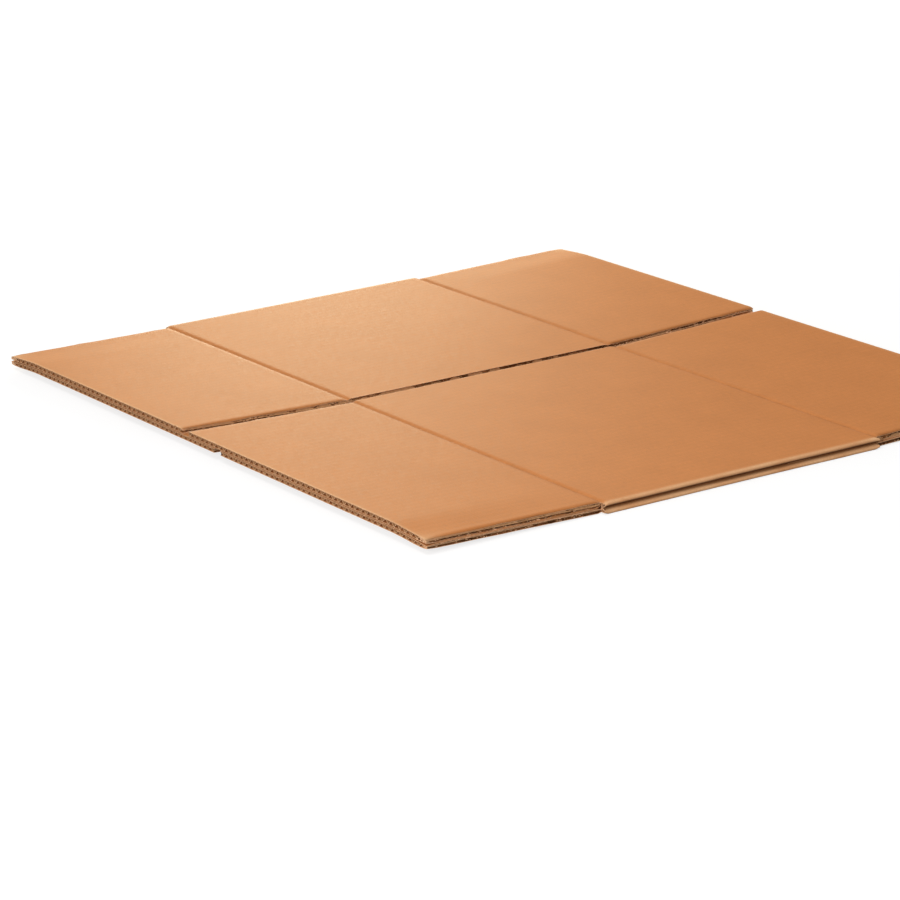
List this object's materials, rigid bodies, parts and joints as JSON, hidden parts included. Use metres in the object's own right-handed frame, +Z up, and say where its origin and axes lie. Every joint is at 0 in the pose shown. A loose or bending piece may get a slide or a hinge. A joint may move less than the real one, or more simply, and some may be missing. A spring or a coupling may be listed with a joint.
{
  "type": "flattened cardboard box",
  "caption": "Slotted shipping box of single-wall corrugated board, glued at one corner and folded flat, with open flutes along its flap ends.",
  "frame": {"origin": "centre of the underside of the whole box as it lies flat", "axes": "+X across the flutes, from one folded corner to the other; +Y along the flutes, from one flap end to the other; +Z up, through the two plies"},
  "size_m": [0.6706, 0.5734, 0.0146],
  "materials": {
    "kraft_board": "matt brown kraft liner, with a slightly darker fluted medium at the cut edges"
  },
  "bodies": {
    "root": {"flattened_box": "kraft_board"}
  },
  "joints": []
}
